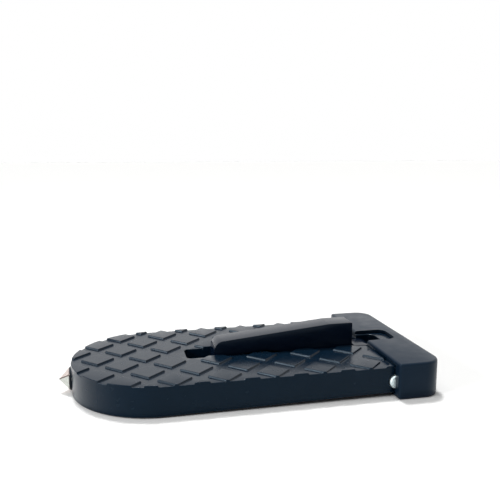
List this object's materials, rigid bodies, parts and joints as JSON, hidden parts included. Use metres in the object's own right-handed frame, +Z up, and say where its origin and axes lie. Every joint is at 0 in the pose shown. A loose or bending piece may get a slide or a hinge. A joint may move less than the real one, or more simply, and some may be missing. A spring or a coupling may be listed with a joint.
{
  "type": "car door latch step",
  "caption": "Folding foot step that hangs on a car door latch: diamond-tread pedal, swinging hook, rubber end bumper and a hammer tip in the nose.",
  "frame": {"origin": "centre of the folded step's footprint, on the surface that it rests on", "axes": "+X from the nose to the hinge end, +Y across the pedal, +Z up out of the tread"},
  "size_m": [0.1832, 0.095, 0.0276],
  "materials": {
    "casting_black": "satin",
    "bumper_rubber": "satin",
    "hook_black": "satin",
    "pin_steel": "bright zinc plate",
    "washer_nylon": "matt",
    "screw_steel": "black oxide",
    "tip_steel": "ground bright",
    "ring_rubber": "matt"
  },
  "bodies": {
    "step": {"pedal_casting": "casting_black", "end_bumper": "bumper_rubber", "hinge_pin": "pin_steel", "hook_washer_left": "washer_nylon", "hook_washer_right": "washer_nylon", "bumper_screw_left": "screw_steel", "bumper_screw_right": "screw_steel", "hammer_tip": "tip_steel", "hammer_tip_ring": "ring_rubber"},
    "hook": {"latch_hook": "hook_black"}
  },
  "joints": [
    {"name": "hook_fold", "type": "hinge", "parent": "step", "child": "hook", "pos_m": [0.06855, 0, 0.0078], "axis": [0, 1, 0], "range_deg": [0, 80]}
  ]
}
